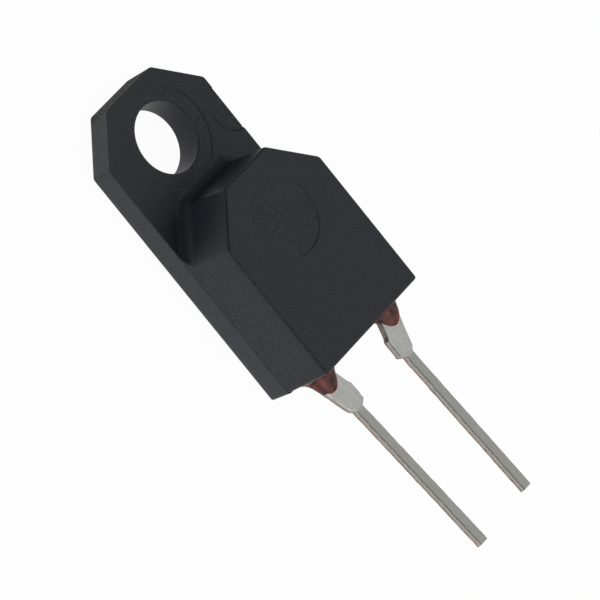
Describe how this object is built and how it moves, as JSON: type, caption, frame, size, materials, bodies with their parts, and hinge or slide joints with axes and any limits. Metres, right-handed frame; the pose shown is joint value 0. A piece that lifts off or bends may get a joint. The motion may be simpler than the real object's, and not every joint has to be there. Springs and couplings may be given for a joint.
{
  "type": "power film resistor",
  "caption": "Moulded power film resistor: flat-backed case with a screw tab and flat leads that leave the end opposite the tab through resin seals.",
  "frame": {"origin": "centre of the screw hole on the flat mounting face", "axes": "+X across the case, +Y along the case towards the tab's end, +Z out of the front face; the leads leave along -Y"},
  "size_m": [0.0082, 0.0279, 0.0049],
  "materials": {
    "moulding": "matte black moulded epoxy with a fine grain",
    "plated_copper": "nickel-plated copper plate, satin",
    "alumina": "fired alumina ceramic, matte",
    "film": "fired resistive film",
    "overglaze": "green glass overglaze",
    "silver_print": "fired silver print",
    "solder": "solder, dull",
    "tinned_copper": "matte tin plate over copper, dulled",
    "resin": "glossy red-brown sealing resin"
  },
  "bodies": {
    "root": {"case": "moulding", "heat_spreader": "plated_copper", "ceramic_bond": "solder", "ceramic": "alumina", "resistive_film": "film", "glaze": "overglaze", "pad_left": "silver_print", "pad_right": "silver_print", "solder_left": "solder", "solder_right": "solder", "lead_left": "tinned_copper", "lead_right": "tinned_copper", "seal_left": "resin", "seal_right": "resin"}
  },
  "joints": []
}
